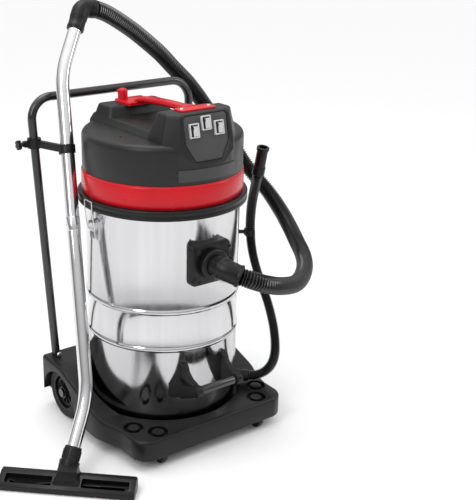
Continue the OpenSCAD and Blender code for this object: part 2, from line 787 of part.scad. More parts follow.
module motor_housings() color(dark_grey) placed() for (k = [0:2]) motor_place(k) {
    difference() {
        translate([0, 0, 722]) cylinder(h = 118, r = 66);
        translate([0, 0, 728]) cylinder(h = 106, r = 60);
        translate([0, 0, 700]) cylinder(h = 60, r = 22);
        translate([0, 0, 800]) cylinder(h = 60, r = 5 + running_gap);
        for (j = [0:5]) rotate(60 * j) translate([50, -8, 790]) cube([30, 16, 30]);
    }
}

module rotor(k) color(steel) placed() motor_place(k) {
    translate([0, 0, 730]) cylinder(h = 22, r = 56);
    translate([0, 0, 751]) cylinder(h = 12, r = 14);
    translate([0, 0, 762]) cylinder(h = 50, r = 30);
    translate([0, 0, 726]) cylinder(h = 118, r = 5);
}

module rotor_front() rotor(0);
module rotor_right() rotor(1);
module rotor_left() rotor(2);

module float_cage() color(black) placed() {
    ring(64, 26, 708, 716);
    ring(44, 30, 600, 604);
    for (k = [0:7]) rotate(45 * k) translate([38.5, -3, 602]) cube([5, 6, 108]);
}

module float_ball() color(steel) placed() translate([0, 0, float_z]) sphere(r = 32);

module cloth_filter() color(cloth) placed() rotate_extrude() polygon([
    [204, 716], [208, 716], [208, 690], [150, 560], [120, 548], [0, 548], [0, 551], [118, 551], [148, 562],
    [204, 691]]);

chassis();
well_plate();
wheel_axles();
push_frame();
wand_clip();
hose_clip();
clip_knob();
tank();
inlet_bezel();
inlet_socket();
inlet_deflector();
drain_fitting();
drain_hose();
drain_cuff();
tip_arms();
tip_bar();
tank_screws();
latch_plates();
caster_plates();
suction_hose();
inlet_cuff();
wand_elbow();
wand_upper();
wand_lower();
tool_collar();
tool_body();
tool_strips();
lid_ring();
red_band();
motor_cover();
switch_panel();
name_plate();
switch_bezels();
carry_handle();
handle_screws();
cord_hook();
cable_gland();
motor_deck();
motor_housings();
float_cage();
cloth_filter();
rocker_left();
rocker_middle();
rocker_right();
latch_lever_left();
latch_lever_right();
latch_bail_left();
latch_bail_right();
rear_tyre_left();
rear_tyre_right();
rear_hub_left();
rear_hub_right();
caster_fork_left();
caster_fork_right();
caster_wheel_left();
caster_wheel_right();
rotor_front();
rotor_left();
rotor_right();
float_ball();
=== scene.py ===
"""Looks for the wet and dry shop vacuum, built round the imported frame.

Shapes are written in millimetres round the tank's axis, as in part.scad, and placed by SHIFT.
"""

import json
import math

import bmesh
import bpy
from mathutils import Matrix, Vector


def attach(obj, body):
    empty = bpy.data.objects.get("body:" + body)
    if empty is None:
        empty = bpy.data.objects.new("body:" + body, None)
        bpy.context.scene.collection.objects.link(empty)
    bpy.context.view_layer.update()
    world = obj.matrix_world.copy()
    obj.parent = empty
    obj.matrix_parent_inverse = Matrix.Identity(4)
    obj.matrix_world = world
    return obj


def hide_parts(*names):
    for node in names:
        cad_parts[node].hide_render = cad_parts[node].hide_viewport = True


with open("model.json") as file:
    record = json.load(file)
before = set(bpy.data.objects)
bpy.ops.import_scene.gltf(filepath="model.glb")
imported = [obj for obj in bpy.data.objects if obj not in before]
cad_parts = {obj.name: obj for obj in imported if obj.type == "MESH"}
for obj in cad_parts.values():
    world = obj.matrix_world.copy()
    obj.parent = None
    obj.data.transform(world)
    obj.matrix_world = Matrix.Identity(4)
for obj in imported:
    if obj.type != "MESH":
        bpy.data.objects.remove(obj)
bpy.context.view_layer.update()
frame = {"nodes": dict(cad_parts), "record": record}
NODES = frame["nodes"]
SHIFT = Vector((145.8, 30.2, 0.0))
MM = 0.001

# The sizes and places that the pieces are built to. NEAR_AXIS is where a solid turned shape stops
# short of its axis.
NEAR_AXIS = 0.5
TANK_R = 220.0
INLET_Z = 555
BEAD_Z = (306, 418)
LID_R = 240
WHEEL_Y, WHEEL_Z = 130, 80
WAND_R, WAND_BORE = 19, 17.5
GRIP_Y, GRIP_Z = -274, 203
DRAIN_Z = 118
DRAIN_WAY = math.radians(-36)


# ---------- points ----------


def place(p):
    return (Vector(p) + SHIFT) * MM


def catmull(points, step):
    """A smooth line through the points, resampled every step millimetres."""
    pts = [Vector(p) for p in points]
    ext = [pts[0] * 2 - pts[1]] + pts + [pts[-1] * 2 - pts[-2]]
    fine = []
    for i in range(1, len(ext) - 2):
        a, b, c, d = ext[i - 1 : i + 3]
        for k in range(24):
            t = k / 24
            fine.append(
                0.5
                * (
                    2 * b
                    + (c - a) * t
                    + (2 * a - 5 * b + 4 * c - d) * t * t
                    + (3 * b - a - 3 * c + d) * t**3
                )
            )
    fine.append(pts[-1])
    return resample(fine, step)


def resample(line, step):
    lengths = [0.0]
    for a, b in zip(line, line[1:]):
        lengths.append(lengths[-1] + (b - a).length)
    count = max(2, round(lengths[-1] / step))
    out, j = [], 0
    for k in range(count + 1):
        s = lengths[-1] * k / count
        while j < len(line) - 2 and lengths[j + 1] < s:
            j += 1
        span = lengths[j + 1] - lengths[j]
        out.append(line[j].lerp(line[j + 1], (s - lengths[j]) / span if span else 0))
    return out


def round_corner(a, b, c, r, n):
    """The arc of radius r that rounds corner b of the line a, b, c."""
    u, v = (b - a).normalized(), (c - b).normalized()
    turn = math.acos(max(-1, min(1, u.dot(v))))
    if turn < 1e-4:
        return [b]
    reach = r * math.tan(turn / 2)
    side = (v - u * u.dot(v)).normalized()
    start = b - u * reach
    hub = start + side * r
    return [
        hub + r * (math.sin(turn * k / n) * u - math.cos(turn * k / n) * side)
        for k in range(n + 1)
    ]


def rounded_line(points, r, n=10):
    pts = [Vector(p) for p in points]
    out = [pts[0]]
    for a, b, c in zip(pts, pts[1:], pts[2:]):
        out += round_corner(a, b, c, r, n)
    return out + [pts[-1]]


def rounded_outline(points, r, n=4):
    """A closed flat outline with every corner rounded. r is one radius or one for each corner."""
    pts = [Vector((p[0], p[1], 0)) for p in points]
    radii = r if isinstance(r, (list, tuple)) else [r] * len(pts)
    out = []
    for i, b in enumerate(pts):
        a, c = pts[i - 1], pts[(i + 1) % len(pts)]
        out += round_corner(a, b, c, radii[i], n)
    return [(p.x, p.y) for p in out]


def mirrored(points):
    return list(points) + [(-x, y) for x, y in reversed(points)]


# ---------- shapes ----------


class Shape:
    """Vertices and faces, in millimetres, of one piece. It may hold several closed solids."""

    def __init__(self):
        self.v, self.f = [], []

    def add(self, verts, faces, matrix=None):
        base = len(self.v)
        for p in verts:
            p = Vector(p)
            self.v.append(matrix @ p if matrix else p)
        self.f += [tuple(base + i for i in face) for face in faces]
        return self

    def loft(self, rings, matrix=None, closed=False):
        n = len(rings[0])
        verts = [p for ring in rings for p in ring]
        last = len(rings) if closed else len(rings) - 1
        faces = [
            (
                i * n + k,
                i * n + (k + 1) % n,
                (i + 1) % len(rings) * n + (k + 1) % n,
                (i + 1) % len(rings) * n + k,
            )
            for i in range(last)
            for k in range(n)
        ]
        if not closed:
            faces.append(tuple(reversed(range(n))))
            faces.append(tuple(range((len(rings) - 1) * n, len(rings) * n)))
        return self.add(verts, faces, matrix)

    def lathe(self, profile, n=96, matrix=None, start=0.0, turn=360.0):
        """Turns a closed profile of (radius, height) points about Z."""
        full = turn >= 360
        count = n if full else n + 1
        rings = []
        for k in range(count):
            a = math.radians(start + turn * k / n)
            rings.append([(r * math.cos(a), r * math.sin(a), z) for r, z in profile])
        return self.loft(rings, matrix, closed=full)

    def tube(self, line, radius, sides=24):
        """A tube along a line. radius is one number or one for each point."""
        line = [Vector(p) for p in line]
        radii = radius if isinstance(radius, (list, tuple)) else [radius] * len(line)
        rings, side = [], None
        for i, p in enumerate(line):
            t = (line[min(i + 1, len(line) - 1)] - line[max(i - 1, 0)]).normalized()
            if side is None:
                side = t.cross(Vector((0, 0, 1)) if abs(t.z) < 0.9 else Vector((1, 0, 0)))
            side = (side - t * side.dot(t)).normalized()
            other = t.cross(side)
            rings.append(
                [
                    p
                    + radii[i]
                    * (
                        math.cos(2 * math.pi * k / sides) * side
                        + math.sin(2 * math.pi * k / sides) * other
                    )
                    for k in range(sides)
                ]
            )
        return self.loft(rings)

    def pipe(self, line, r_out, r_in, sides=32):
        """A hollow tube, open at both ends, with its wall."""
        line = [Vector(p) for p in line]
        outer, inner = Shape(), Shape()
        outer.tube(line, r_out, sides)
        inner.tube(line, r_in, sides)
        n = sides
        rings_out = [outer.v[i * n : (i + 1) * n] for i in range(len(line))]
        rings_in = [inner.v[i * n : (i + 1) * n] for i in range(len(line))]
        return self.loft(rings_out + list(reversed(rings_in)), closed=True)

    def prism(self, outline, z0, z1, matrix=None, edge=0.0, steps=3, both=True):
        """A flat outline raised from z0 to z1, its edges rounded to radius edge."""
        rings = []
        levels = []
        if edge > 0:
            for k in range(steps + 1):
                a = math.pi / 2 * k / steps
                levels.append((edge * (1 - math.sin(a)), edge * (1 - math.cos(a))))
        else:
            levels = [(0, 0)]
        low = levels if both else [(0, 0)]
        for inset, rise in low:
            rings.append([(x, y, z0 + rise) for x, y in inset_outline(outline, inset)])
        for inset, rise in reversed(levels):
            rings.append([(x, y, z1 - rise) for x, y in inset_outline(outline, inset)])
        return self.loft(rings, matrix)

    def box(self, lo, hi, edge=0.0, matrix=None):
        w, d = hi[0] - lo[0], hi[1] - lo[1]
        r = max(0.01, min(edge, w / 2.01, d / 2.01))
        outline = rounded_outline(
            [(lo[0], lo[1]), (hi[0], lo[1]), (hi[0], hi[1]), (lo[0], hi[1])], r, 4
        )
        return self.prism(outline, lo[2], hi[2], matrix, min(edge, (hi[2] - lo[2]) / 2))

    def flip_x(self):
        """Moves the shape to the other side."""
        self.v = [Vector((-p.x, p.y, p.z)) for p in self.v]
        self.f = [tuple(reversed(face)) for face in self.f]
        return self

    def mirror_x(self):
        """Adds the shape's twin on the other side."""
        base = len(self.v)
        self.v += [Vector((-p.x, p.y, p.z)) for p in self.v]
        self.f += [tuple(base + i for i in reversed(face)) for face in self.f]
        return self


def inset_outline(outline, d):
    """The outline moved inwards by d, or outwards where d is below zero."""
    if d == 0:
        return list(outline)
    n = len(outline)
    area = sum(
        outline[i - 1][0] * outline[i][1] - outline[i][0] * outline[i - 1][1]
        for i in range(n)
    )
    sign = 1 if area > 0 else -1
    out = []
    for i in range(n):
        p0, p1, p2 = (Vector((*outline[j % n], 0)) for j in (i - 1, i, i + 1))
        a, b = (p1 - p0), (p2 - p1)
        if a.length < 1e-9 or b.length < 1e-9:
            out.append((p1.x, p1.y))
            continue
        a, b = a.normalized(), b.normalized()
        na, nb = Vector((-a.y, a.x, 0)) * sign, Vector((-b.y, b.x, 0)) * sign
        m = na + nb
        m = m / max(0.35, m.dot(na))
        out.append((p1.x + m.x * d, p1.y + m.y * d))
    return out


def aim(at, way):
    """Carries +Z to the direction way, at the point at."""
    z = Vector(way).normalized()
    return Matrix.Translation(Vector(at)) @ z.to_track_quat("Z", "Y").to_matrix().to_4x4()


def along_x(x, y=0.0, z=0.0):
    """Carries an outline's plane to YZ and its height to +X: (a, b, h) goes to (h, a, b)."""
    return Matrix.Translation((x, y, z)) @ Matrix(
        ((0, 0, 1, 0), (1, 0, 0, 0), (0, 1, 0, 0), (0, 0, 0, 1))
    )


def to_front(y, z=0.0):
    """Carries an outline's plane to XZ: (a, b, h) goes to (a, y - h, z + b)."""
    return Matrix(((1, 0, 0, 0), (0, 0, -1, y), (0, 1, 0, z), (0, 0, 0, 1)))


def closed_mesh(name, shape):
    mesh = bpy.data.meshes.new(name)
    mesh.from_pydata([place(p) for p in shape.v], [], shape.f)
    bm = bmesh.new()
    bm.from_mesh(mesh)
    bmesh.ops.recalc_face_normals(bm, faces=bm.faces)
    bm.to_mesh(mesh)
    bm.free()
    return mesh


def put(name, mesh):
    obj = bpy.data.objects.new(name, mesh)
    bpy.context.scene.collection.objects.link(obj)
    return obj


def dress(name, mesh, material, body, stands_for, angle):
    """A visible piece: smooth up to the angle, with its material, on its body."""
    mesh.shade_smooth()
    mesh.set_sharp_from_angle(angle=math.radians(angle))
    obj = put(name, mesh)
    obj.data.materials.clear()
    obj.data.materials.append(material)
    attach(obj, body)
    if stands_for:
        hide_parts(*stands_for)
    return obj


def make(name, shape, material, body, stands_for=(), angle=32):
    return dress(name, closed_mesh(name, shape), material, body, stands_for, angle)


def carve(name, base, cutters, material, body, stands_for=(), joined=()):
    """The base with other shapes joined to it and cutters taken from it, by exact booleans."""
    target = put("cutter", closed_mesh("cutter", base))
    helpers = []
    for kind, shapes in (("UNION", joined), ("DIFFERENCE", cutters)):
        for shape in shapes:
            helper = put("cutter", closed_mesh("cutter", shape))
            helpers.append(helper)
            modifier = target.modifiers.new("cut", "BOOLEAN")
            modifier.operation = kind
            modifier.solver = "EXACT"
            modifier.object = helper
    bpy.context.view_layer.update()
    graph = bpy.context.evaluated_depsgraph_get()
    mesh = bpy.data.meshes.new_from_object(target.evaluated_get(graph))
    for helper in helpers + [target]:
        bpy.data.objects.remove(helper)
    mesh.name = name
    return dress(name, mesh, material, body, stands_for, 32)


# ---------- materials ----------


def finish(
    name,
    colour,
    roughness,
    metallic=0.0,
    grain=0.0,
    grain_scale=300.0,
    spread=0.0,
    coat=0.0,
    stretch=(1, 1, 1),
    tint=0.0,
    tint_scale=9.0,
    specular=0.5,
):
    """A plain surface with fine procedural grain, and roughness and tone that drift a little.

    spread is the drift of the roughness, tint the drift of the tone, grain the height of the grain.
    """
    material = bpy.data.materials.new(name)
    material.use_nodes = True
    tree = material.node_tree
    shader = tree.nodes["Principled BSDF"]
    shader.inputs["Base Color"].default_value = (*colour, 1)
    shader.inputs["Roughness"].default_value = roughness
    shader.inputs["Metallic"].default_value = metallic
    shader.inputs["Specular IOR Level"].default_value = specular
    if coat:
        shader.inputs["Coat Weight"].default_value = coat
        shader.inputs["Coat Roughness"].default_value = 0.06
    where = tree.nodes.new("ShaderNodeTexCoord")
    sized = tree.nodes.new("ShaderNodeMapping")
    sized.inputs["Scale"].default_value = stretch
    tree.links.new(where.outputs["Object"], sized.inputs["Vector"])
    if spread:
        noise = tree.nodes.new("ShaderNodeTexNoise")
        noise.inputs["Scale"].default_value = 14.0
        noise.inputs["Detail"].default_value = 6.0
        tree.links.new(sized.outputs["Vector"], noise.inputs["Vector"])
        span = tree.nodes.new("ShaderNodeMapRange")
        span.inputs["From Min"].default_value = 0.3
        span.inputs["From Max"].default_value = 0.7
        span.inputs["To Min"].default_value = max(0.02, roughness - spread)
        span.inputs["To Max"].default_value = roughness + spread
        tree.links.new(noise.outputs["Fac"], span.inputs["Value"])
        tree.links.new(span.outputs["Result"], shader.inputs["Roughness"])
    # Tone drift: random for most materials. On the tank, where the noise is stretched along Z, it
    # is a painted reflection.
    if tint:
        drift = tree.nodes.new("ShaderNodeTexNoise")
        drift.inputs["Scale"].default_value = tint_scale
        drift.inputs["Detail"].default_value = 3.0
        tree.links.new(sized.outputs["Vector"], drift.inputs["Vector"])
        ramp = tree.nodes.new("ShaderNodeValToRGB")
        ramp.color_ramp.elements[0].position = 0.35
        ramp.color_ramp.elements[1].position = 0.65
        ramp.color_ramp.elements[0].color = (*(c * (1 - tint) for c in colour), 1)
        ramp.color_ramp.elements[1].color = (
            *(min(1, c * (1 + tint)) for c in colour),
            1,
        )
        tree.links.new(drift.outputs["Fac"], ramp.inputs["Fac"])
        tree.links.new(ramp.outputs["Color"], shader.inputs["Base Color"])
    if grain:
        fine = tree.nodes.new("ShaderNodeTexNoise")
        fine.inputs["Scale"].default_value = grain_scale
        fine.inputs["Detail"].default_value = 2.0
        tree.links.new(where.outputs["Object"], fine.inputs["Vector"])
        bump = tree.nodes.new("ShaderNodeBump")
        bump.inputs["Strength"].default_value = grain
        bump.inputs["Distance"].default_value = 0.0004
        tree.links.new(fine.outputs["Fac"], bump.inputs["Height"])
        tree.links.new(bump.outputs["Normal"], shader.inputs["Normal"])
    return material


BLACK = finish(
    "black_plastic",
    (0.006, 0.006, 0.0065),
    0.36,
    specular=0.26,
    grain=0.35,
    grain_scale=900,
    spread=0.06,
    tint=0.12,
)
COVER = finish(
    "cover_plastic",
    (0.012, 0.013, 0.012),
    0.38,
    specular=0.28,
    grain=0.4,
    grain_scale=1100,
    spread=0.05,
    tint=0.06,
)
PANEL = finish(
    "panel_plastic",
    (0.05, 0.051, 0.05),
    0.42,
    specular=0.4,
    grain=0.3,
    grain_scale=1100,
    spread=0.05,
    tint=0.05,
)
RED = finish(
    "red_plastic",
    (0.52, 0.003, 0.010),
    0.26,
    coat=0.04,
    spread=0.03,
    tint=0.05,
    specular=0.26,
)
# The tank's tone drifts in faint upright streaks because its noise is stretched along Z. These
# streaks are a painted reflection of the surroundings in the steel, along with some rolled-steel
# streaking.
TANK = finish(
    "tank_steel",
    (0.58, 0.58, 0.59),
    0.12,
    metallic=1.0,
    spread=0.03,
    stretch=(6, 6, 0.25),
    tint=0.04,
    tint_scale=6,
)
CHROME = finish(
    "wand_steel",
    (0.72, 0.72, 0.73),
    0.09,
    metallic=1.0,
    spread=0.03,
    tint=0.03,
)
ZINC = finish(
    "zinc_steel",
    (0.62, 0.62, 0.63),
    0.3,
    metallic=1.0,
    spread=0.06,
    tint=0.08,
    tint_scale=40,
)
SILVER = finish("bezel_silver", (0.56, 0.56, 0.57), 0.34, metallic=0.2, spread=0.04)
PLATE = finish("plate_grey", (0.03, 0.03, 0.032), 0.3, spread=0.04, tint=0.04)
PAINT = finish(
    "black_paint", (0.012, 0.012, 0.012), 0.22, coat=0.35, spread=0.05, tint=0.1
)
RUBBER = finish(
    "black_rubber",
    (0.012, 0.012, 0.012),
    0.65,
    specular=0.3,
    grain=0.5,
    grain_scale=700,
    spread=0.06,
    tint=0.15,
)
HOSE = finish(
    "hose_plastic", (0.006, 0.006, 0.0065), 0.2, spread=0.04, tint=0.12, specular=0.6
)
ALLOY = finish(
    "cast_alloy",
    (0.5, 0.5, 0.52),
    0.45,
    metallic=1.0,
    grain=0.4,
    grain_scale=500,
    spread=0.05,
)
WHITE = finish("white_plastic", (0.75, 0.75, 0.74), 0.45, spread=0.04, tint=0.03)
CLOTH = finish(
    "filter_cloth",
    (0.62, 0.6, 0.55),
    0.9,
    grain=1.0,
    grain_scale=1600,
    spread=0.04,
    tint=0.08,
)
FLOOR = finish("floor", (0.86, 0.86, 0.86), 0.75, spread=0.03)

BY_SLOT = {
    "black_plastic": BLACK,
    "cover_plastic": COVER,
    "plate_grey": PLATE,
    "red_plastic": RED,
    "tank_steel": TANK,
    "zinc_steel": ZINC,
    "wand_steel": CHROME,
    "bezel_silver": SILVER,
    "black_paint": PAINT,
    "black_rubber": RUBBER,
    "hose_plastic": HOSE,
    "cast_alloy": ALLOY,
    "white_plastic": WHITE,
    "filter_cloth": CLOTH,
}

for part in frame["record"]["subparts"]:
    node = NODES[part["node"]]
    node.data.materials.clear()
    node.data.materials.append(BY_SLOT[part["material_slot"]])
NODES["wheel_axles"].data.materials[0] = PAINT

# ---------- camera ----------

camera_data = bpy.data.cameras.new("camera")
camera_data.lens = 69.5
camera_data.sensor_width = 36.0
camera_data.shift_x = 0.162
camera_data.clip_end = 60.0
camera = bpy.data.objects.new("camera", camera_data)
camera.location = place((-1484, -2159, 1500))
camera.rotation_euler = (math.radians(90 - 20.5), 0, math.radians(-34.17))
bpy.context.scene.collection.objects.link(camera)
bpy.context.scene.camera = camera

# ---------- cords ----------

HOSE_ROUTE = [
    (34, -318, 536),
    (62, -334, 524),
    (104, -342, 506),
    (160, -337, 486),
    (240, -306, 463),
    (320, -248, 447),
    (398, -176, 440),
    (452, -108, 444),
    (486, -42, 459),
    (510, 22, 487),
    (520, 78, 523),
    (514, 142, 576),
    (479, 212, 652),
    (437, 258, 742),
    (398, 284, 806),
    (371, 297, 846),
    (348, 305, 880),
    (311, 314, 927),
    (263, 320, 974),
    (211, 320, 1024),
    (157, 315, 1066),
    (100, 306, 1106),
    (38, 294, 1143),
    (-8, 284, 1166),
    (-48, 276, 1180),
]
DRAIN_ROUTE = [
    (212, -154, 118),
    (232, -168, 120),
    (254, -182, 132),
    (270, -192, 156),
    (280, -193, 190),
    (286, -184, 230),
    (292, -164, 276),
    (298, -132, 326),
    (300, -94, 380),
    (300, -62, 434),
    (300, -42, 486),
    (300, -33, 545),
    (300, -36, 610),
    (300, -47, 665),
    (300, -60, 715),
]
CUFF_END = Vector((300, -79, 800))
INLET_HUB = Vector((0, -284, INLET_Z))
HOSE_R, DRAIN_R = 25, 15


def ribbed(route, r, depth, pitch, sides):
    """A corrugated hose along the route: narrow flat crests with a steep valley between them."""
    profile = [r - depth, r - depth / 2, r, r, r - depth / 2]
    line = catmull(route, pitch / len(profile))
    radii = [profile[i % len(profile)] for i in range(len(line))]
    return line, Shape().tube(line, radii, sides)


hose_line, hose_shape = ribbed(HOSE_ROUTE, HOSE_R, 5.2, 8.0, 28)
hose = make(
    "hose", hose_shape, HOSE, "trolley", ["suction_hose"], angle=35
)

drain_line, drain_shape = ribbed(DRAIN_ROUTE, DRAIN_R, 3.6, 6.4, 24)
drain = make(
    "drain", drain_shape, HOSE, "trolley", ["drain_hose"], angle=35
)
cuff_way = (CUFF_END - Vector(DRAIN_ROUTE[-1])).normalized()
cuff_long = (CUFF_END - Vector(DRAIN_ROUTE[-1])).length
cuff = make(
    "drain_end",
    Shape().lathe(
        [
            (12, 0),
            (17.5, 0),
            (18.5, 1.5),
            (18.5, 24),
            (17.5, 26),
            (16.6, 27),
            (16.2, 70),
            (16.2, cuff_long - 11),
            (18.2, cuff_long - 9),
            (18.5, cuff_long - 7),
            (18.5, cuff_long - 1.2),
            (17.5, cuff_long),
            (12, cuff_long),
        ],
        48,
        aim(DRAIN_ROUTE[-1], cuff_way),
    ),
    BLACK,
    "trolley",
    ["drain_cuff"],
)

# ---------- tank and its fittings ----------


def bead(z, r=TANK_R, high=4.0, half=9.0, n=8):
    """A rolled bead round the tank, from below it to above it."""
    out = []
    for k in range(n + 1):
        t = -1 + 2 * k / n
        out.append((r + high * math.cos(t * math.pi / 2) ** 1.3, z + half * t))
    return out


def bead_back(z):
    """The same bead inside the wall, from above it to below it."""
    return list(reversed(bead(z, TANK_R - 2, 3.6, 8.6)))


rolled_rim = [
    (TANK_R, 682),
    (221, 684),
    (223.3, 685.5),
    (223.5, 687.5),
    (222, 689.6),
    (219.5, 689.8),
    (218, 688),
]
tank_profile = (
    [(2, 70.5), (206, 70.5), (214, 72), (218.5, 76), (TANK_R, 82)]
    + bead(BEAD_Z[0])
    + bead(BEAD_Z[1])
    + rolled_rim
    + bead_back(BEAD_Z[1])
    + bead_back(BEAD_Z[0])
    + [(218, 84), (216.5, 77), (212, 73.5), (206, 72.8), (2, 72.8)]
)
make(
    "tank_shell",
    Shape().lathe(tank_profile, 256),
    TANK,
    "trolley",
    ["tank"],
    angle=50,
)


def core(r, low, high, n, matrix=None):
    """A solid cylinder."""
    profile = [(NEAR_AXIS, low), (r, low), (r, high), (NEAR_AXIS, high)]
    return Shape().lathe(profile, n, matrix)


def plate_outline(half_x, half_y, r, n):
    corners = [(-half_x, -half_y), (half_x, -half_y), (half_x, half_y), (-half_x, half_y)]
    return rounded_outline(corners, r, n)


bezel = Shape()
bezel.prism(plate_outline(65, 59, 16, 6), 0, 42, to_front(-191, INLET_Z), edge=4, both=False)
bezel.prism(plate_outline(57, 51, 13, 6), 0, 15, to_front(-231, INLET_Z), edge=3, both=False)
inlet_axis = to_front(0, INLET_Z)
carve(
    "inlet_frame",
    bezel,
    [core(TANK_R + 0.2, 400, 700, 192), core(38, 150, 300, 64, inlet_axis)],
    BLACK,
    "trolley",
    ["inlet_bezel"],
)
socket = Shape().lathe(
    [(31, 196), (38, 196), (38, 245.5), (43, 246.5), (44, 249), (43, 253), (40, 255.5), (31, 256)],
    72,
    inlet_axis,
)
make("inlet_collar", socket, BLACK, "trolley", ["inlet_socket"], angle=40)


def screw_shape(shape, r, matrix):
    """A pan head with a round socket in it, sized by the radius of its thread."""
    outside = [(0.6, 0), (r * 1.9, 0), (r * 1.85, r * 0.5), (r * 1.3, r * 1.1)]
    inside = [(r * 0.6, r * 1.1), (r * 0.55, r * 0.5), (0.6, r * 0.5)]
    shape.lathe(outside + inside, 32, matrix)


FORWARD = (0, -1, 0)
dark_screws, bright_screws = Shape(), Shape()
for side in (-1, 1):
    for z in (-44, 44):
        screw_shape(dark_screws, 3, aim((side * 50, -246, INLET_Z + z), FORWARD))
    screw_shape(bright_screws, 4, aim((side * 251, 186, 178), FORWARD))
make("inlet_screws", dark_screws, BLACK, "trolley", ["tank_screws"])
make("frame_screws", bright_screws, ZINC, "trolley", ["tank_screws"])


def cuff_radius(t):
    """The cuff's radius at t, from 0 in the socket to 1 at the hose."""
    if t < 0.38:
        return 30.5
    if t < 0.46:
        return 32.5
    return 31.5 if t > 0.93 else 30.2 - 2.2 * (t - 0.46)


def tapered(line, radius_at):
    """A tube whose radius follows radius_at along the line."""
    last = len(line) - 1
    return Shape().tube(line, [radius_at(i / last) for i in range(len(line))], 48)


cuff_line = resample(rounded_line([(0, -236, INLET_Z), INLET_HUB, HOSE_ROUTE[0]], 60, 12), 3)
make(
    "inlet_elbow",
    tapered(cuff_line, cuff_radius),
    BLACK,
    "trolley",
    ["inlet_cuff"],
    angle=40,
)

drain_out = aim((0, 0, DRAIN_Z), (math.cos(DRAIN_WAY), math.sin(DRAIN_WAY), 0))
fitting = Shape().lathe(
    [
        (10, 205),
        (15.8, 205),
        (15.8, 218.5),
        (22, 218.5),
        (22, 230),
        (20.5, 232),
        (16, 232),
        (16, 240),
        (17.5, 241),
        (17.5, 259),
        (16, 261.5),
        (10, 261.5),
    ],
    48,
    drain_out,
)
for k in range(12):
    a = math.radians(30 * k)
    spin = drain_out @ Matrix.Rotation(a, 4, "Z") @ Matrix.Translation((21.5, 0, 219))
    fitting.box((-1.6, -3, 0), (1.6, 3, 11), 1.2, spin)
make("drain_union", fitting, BLACK, "trolley", ["drain_fitting"], angle=40)

arms = Shape()
wedge = [(-202, 264), (-213, 262), (-219, 256), (-226, 240), (-244, 226), (-262, 221)]
for k in range(11):
    a = math.radians(60 + 20 * k)
    wedge.append((GRIP_Y + 17 * math.cos(a), GRIP_Z + 17 * math.sin(a)))
wedge += [(-240, 168), (-202, 150)]
arms.prism(wedge, 0, 20, along_x(59), edge=2.5)
flare = Shape()
flare.loft(
    [
        [(112, -180, 163), (112, -180, 204), (62, -180, 214), (62, -180, 156)],
        [(106, -204, 164), (106, -204, 206), (62, -206, 216), (62, -206, 158)],
        [(80, -270, 187), (80, -272, 219), (62, -274, 219), (62, -272, 187)],
        [(78, -282, 192), (78, -284, 214), (62, -284, 214), (62, -282, 192)],
    ]
)
arms.mirror_x()
flare.mirror_x()
carve(
    "tip_brackets",
    arms,
    [core(TANK_R + 0.1, 100, 300, 192)],
    BLACK,
    "trolley",
    ["tip_arms"],
    joined=[flare],
)
half_grip = [(11.5, 66), (11.5, 56), (12.2, 54)]
grip_profile = (
    [(NEAR_AXIS, -66)]
    + [(r, -x) for r, x in half_grip]
    + list(reversed(half_grip))
    + [(NEAR_AXIS, 66)]
)
grip = Shape().lathe(grip_profile, 48, along_x(0, GRIP_Y, GRIP_Z))
make("tip_grip", grip, PAINT, "trolley", ["tip_bar"], angle=40)

# ---------- chassis ----------

BASE_HALF = 288
DECK_LOW, DECK_HIGH = 94, 170
RISE_FROM, RISE_LONG = -112, 230
DECK_EDGE = 9
RECESSES = ((175, -236), (220, -180))


def arc(cx, cy, r, a0, a1, n):
    steps = [math.radians(a0 + (a1 - a0) * k / n) for k in range(n + 1)]
    return [(cx + r * math.cos(a), cy + r * math.sin(a)) for a in steps]


def base_outline():
    """Round front corners, a soft S along each side to the fenders, and a round rear."""
    side_curve = [
        (273 - 15 * math.cos(math.pi * k / 11), -196 + 132 * k / 11) for k in range(12)
    ]
    fender = [
        (BASE_HALF, y) for y in (-30, 10, 50, 80, 96, 106, 113, 119, 126, 140, 170)
    ]
    return mirrored(
        arc(206, -224, 52, 270, 360, 14)
        + side_curve
        + fender
        + arc(BASE_HALF - 12, 220, 12, 0, 90, 8)
        + arc(0, 0, LID_R, 76, 88, 5)
    )


def base_height(y):
    """Height of the deck at y: level, then rising to the fenders with a soft break at each end."""
    t = (y - RISE_FROM) / RISE_LONG
    ends = [(-0.06, 0.0), (0.0, 0.012), (0.06, 0.06), (0.94, 0.94), (1.0, 0.988), (1.06, 1.0)]
    t = min(1.06, max(-0.06, t))
    for (a, p), (b, q) in zip(ends, ends[1:]):
        if t <= b:
            return DECK_LOW + (DECK_HIGH - DECK_LOW) * (p + (q - p) * (t - a) / (b - a))
    return DECK_HIGH


def base_rings():
    """The moulding's skirt and rounded upper edge, from the bottom up."""
    outline = base_outline()
    rings = [
        [(x, y, 34.0) for x, y in inset_outline(outline, 1.0)],
        [(x, y, 36.0) for x, y in outline],
    ]
    for k in range(6):
        a = math.pi / 2 * k / 5
        inset, fall = DECK_EDGE * (1 - math.cos(a)), DECK_EDGE * (1 - math.sin(a))
        ring = inset_outline(outline, inset)
        rings.append([(x, y, base_height(y) - fall) for x, y in ring])
    return rings


def capped(rings):
    """One closed solid of the rings, with flat strips across its top that keep the deck true."""
    n = len(rings[0])
    bm = bmesh.new()
    verts = [bm.verts.new(p) for ring in rings for p in ring]
    for i in range(len(rings) - 1):
        for k in range(n):
            after = (k + 1) % n
            corners = (i * n + k, i * n + after, (i + 1) * n + after, (i + 1) * n + k)
            bm.faces.new([verts[j] for j in corners])
    bm.faces.new(list(reversed(verts[:n])))
    top = verts[-n:]
    for k in range(n // 2 - 1):
        bm.faces.new([top[k], top[k + 1], top[n - 2 - k], top[n - 1 - k]])
    bmesh.ops.recalc_face_normals(bm, faces=bm.faces)
    bmesh.ops.triangulate(bm, faces=[f for f in bm.faces if len(f.verts) > 4])
    out = Shape()
    bm.verts.index_update()
    out.add([v.co.copy() for v in bm.verts], [[v.index for v in f.verts] for f in bm.faces])
    bm.free()
    return out


